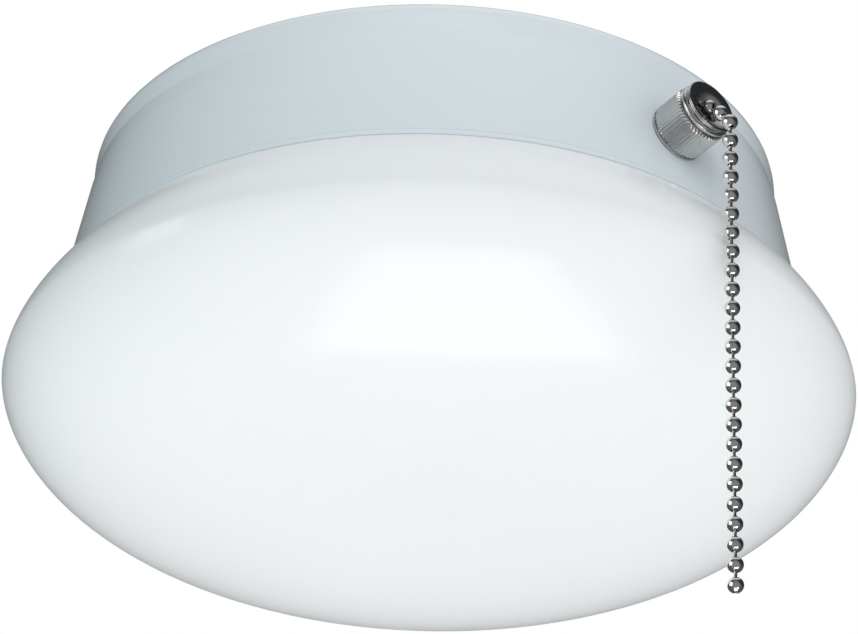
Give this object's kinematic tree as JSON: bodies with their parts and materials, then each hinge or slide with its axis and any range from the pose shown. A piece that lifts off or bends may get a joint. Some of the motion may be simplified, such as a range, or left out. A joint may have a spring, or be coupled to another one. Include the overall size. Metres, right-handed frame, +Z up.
{
  "type": "ceiling light with pull chain switch",
  "caption": "Round flush ceiling light, sloped white housing and opal dome lens, with a knurled pull-chain switch in its side and a hanging ball chain.",
  "frame": {"origin": "centre of the housing face that lies against the ceiling", "axes": "+Z up into the ceiling; the switch and its chain are on the -Y side; the mounting strap lies along X"},
  "size_m": [0.1782, 0.1821, 0.1294],
  "materials": {
    "white_enamel": "gloss",
    "grommet_rubber": "matte",
    "zinc_steel": "satin",
    "green_screw": "satin",
    "brass": "satin",
    "aluminium": "satin",
    "board_white": "gloss",
    "phosphor": "gloss",
    "chip_black": "matte",
    "blue_ceramic": "satin",
    "tan_ceramic": "satin",
    "capacitor_sleeve": "gloss",
    "terminal_white": "gloss",
    "ring_steel": "satin",
    "opal_acrylic": "gloss",
    "nickel_plate": "polished",
    "phenolic_brown": "satin",
    "slide_nylon": "satin",
    "spring_steel": "satin",
    "rotor_nylon": "satin",
    "contact_brass": "polished",
    "lead_black": "satin",
    "chain_steel": "polished"
  },
  "bodies": {
    "fixture": {"housing": "white_enamel", "wire_grommet": "grommet_rubber", "mounting_strap": "zinc_steel", "canopy_screws": "zinc_steel", "ground_screw": "green_screw", "standoffs": "brass", "standoff_screws": "zinc_steel", "led_plate": "aluminium", "led_board": "board_white", "leds": "phosphor", "rectifier": "chip_black", "driver_chips": "chip_black", "surge_arrester": "blue_ceramic", "fuse_resistor": "tan_ceramic", "capacitor": "capacitor_sleeve", "terminal_block": "terminal_white", "board_screws": "zinc_steel", "lens_ring": "ring_steel", "knurled_nut": "nickel_plate", "neck_tube": "brass", "bell_mouth": "nickel_plate", "star_washer": "zinc_steel", "inner_nut": "brass", "switch_case": "phenolic_brown", "switch_cover": "phenolic_brown", "case_rivets": "zinc_steel", "return_spring": "spring_steel", "rotor_pin": "zinc_steel", "fixed_contact_1": "contact_brass", "fixed_contact_2": "contact_brass", "index_spring": "spring_steel", "switch_lead_1": "lead_black", "switch_lead_2": "lead_black"},
    "lens_body": {"lens": "opal_acrylic"},
    "pull_body": {"pull_slide": "slide_nylon", "chain_run": "chain_steel"},
    "rotor_body": {"ratchet_rotor": "rotor_nylon", "moving_contact": "contact_brass"},
    "turn_1": {"chain_turn_1": "chain_steel"},
    "turn_2": {"chain_turn_2": "chain_steel"},
    "turn_3": {"chain_turn_3": "chain_steel"},
    "turn_4": {"chain_turn_4": "chain_steel"},
    "drop_body": {"chain_drop": "chain_steel"},
    "tail_body": {"chain_tail": "chain_steel"}
  },
  "joints": [
    {"name": "lens_twist", "type": "hinge", "parent": "fixture", "child": "lens_body", "pos_m": [0, 0, -0.0346], "axis": [0, 0, -1], "range_deg": [0, 17]},
    {"name": "chain_pull", "type": "slide", "parent": "fixture", "child": "pull_body", "axis": [0, -0.9829, 0.184], "range_m": [0, 0.006], "stiffness_N_per_m": 150, "springref_m": -0.01},
    {"name": "rotor_turn", "type": "hinge", "parent": "fixture", "child": "rotor_body", "pos_m": [-0.003, -0.06376, -0.02782], "axis": [0, -0.184, -0.9829], "range_deg": [0, 90]},
    {"name": "link_bend_1", "type": "hinge", "parent": "pull_body", "child": "turn_1", "pos_m": [0, -0.07718, -0.02124], "axis": [1, 0, 0], "range_deg": [0, 8]},
    {"name": "link_bend_2", "type": "hinge", "parent": "turn_1", "child": "turn_2", "pos_m": [0, -0.08135, -0.02046], "axis": [1, 0, 0], "range_deg": [0, 34]},
    {"name": "link_bend_3", "type": "hinge", "parent": "turn_2", "child": "turn_3", "pos_m": [0, -0.08872, -0.02249], "axis": [-1, 0, 0], "range_deg": [0, 3.4]},
    {"name": "link_bend_4", "type": "hinge", "parent": "turn_3", "child": "turn_4", "pos_m": [0, -0.09137, -0.02581], "axis": [-1, 0, 0], "range_deg": [0, 38.6]},
    {"name": "swing_side", "type": "hinge", "parent": "turn_4", "child": "drop_body", "pos_m": [0, -0.09137, -0.03006], "axis": [0, 1, 0], "range_deg": [-30, 30]},
    {"name": "swing_out", "type": "hinge", "parent": "drop_body", "child": "tail_body", "pos_m": [0, -0.09137, -0.03431], "axis": [-1, 0, 0], "range_deg": [0, 60]}
  ],
  "couplings": [
    {"joint": "rotor_turn", "follows": "chain_pull", "rad_per_m": 261.8},
    {"joint": "link_bend_1", "follows": "chain_pull", "rad_per_m": 23.271},
    {"joint": "link_bend_2", "follows": "chain_pull", "rad_per_m": 98.901},
    {"joint": "link_bend_3", "follows": "chain_pull", "rad_per_m": 9.89},
    {"joint": "link_bend_4", "follows": "chain_pull", "rad_per_m": 112.28}
  ]
}
